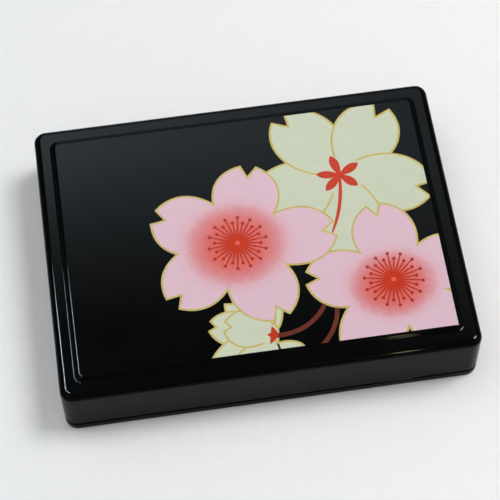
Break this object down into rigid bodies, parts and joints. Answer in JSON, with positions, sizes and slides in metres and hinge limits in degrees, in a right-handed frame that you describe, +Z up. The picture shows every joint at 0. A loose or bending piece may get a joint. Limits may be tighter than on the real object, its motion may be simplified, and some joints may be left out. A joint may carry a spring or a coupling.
{
  "type": "lacquer box",
  "caption": "Flat rectangular lacquered box with a plinth base, a slip-over lid with a raised panel, and cherry blossom laid on the panel.",
  "frame": {"origin": "on the floor, under the middle of the box", "axes": "+X to the right along the long front side, +Y from the front to the back, +Z up; the front is the long side whose edge the picture runs off"},
  "size_m": [0.1708, 0.1266, 0.031],
  "materials": {
    "black_lacquer": "wood board under polished black lacquer",
    "inside_lacquer": "wood board under satin black lacquer",
    "gold_paint": "thin raised layer of gold paint",
    "pink_paint": "thin raised layer of pink paint with a red blush at the heart",
    "pale_paint": "thin raised layer of pale green-cream paint",
    "red_paint": "thin raised layer of red paint",
    "brown_paint": "thin raised layer of brown paint"
  },
  "bodies": {
    "base": {"bottom_board": "black_lacquer", "base_front_wall": "inside_lacquer", "base_back_wall": "inside_lacquer", "base_left_wall": "inside_lacquer", "base_right_wall": "inside_lacquer"},
    "lid": {"lid_top_board": "black_lacquer", "lid_front_wall": "black_lacquer", "lid_back_wall": "black_lacquer", "lid_left_wall": "black_lacquer", "lid_right_wall": "black_lacquer", "pale_blossom_outline": "gold_paint", "pale_blossom_petals": "pale_paint", "pale_blossom_calyx": "red_paint", "bud_outline": "gold_paint", "bud_petals": "pale_paint", "bud_front_outline": "gold_paint", "bud_front_petal": "pale_paint", "bud_calyx": "red_paint", "left_twig": "brown_paint", "right_twig": "brown_paint", "right_blossom_outline": "gold_paint", "right_blossom_petals": "pink_paint", "right_blossom_stamens": "red_paint", "left_blossom_outline": "gold_paint", "left_blossom_petals": "pink_paint", "left_blossom_stamens": "red_paint"}
  },
  "joints": [
    {"name": "lid_lift", "type": "slide", "parent": "base", "child": "lid", "axis": [0, 0, 1], "range_m": [0, 0.04]}
  ]
}
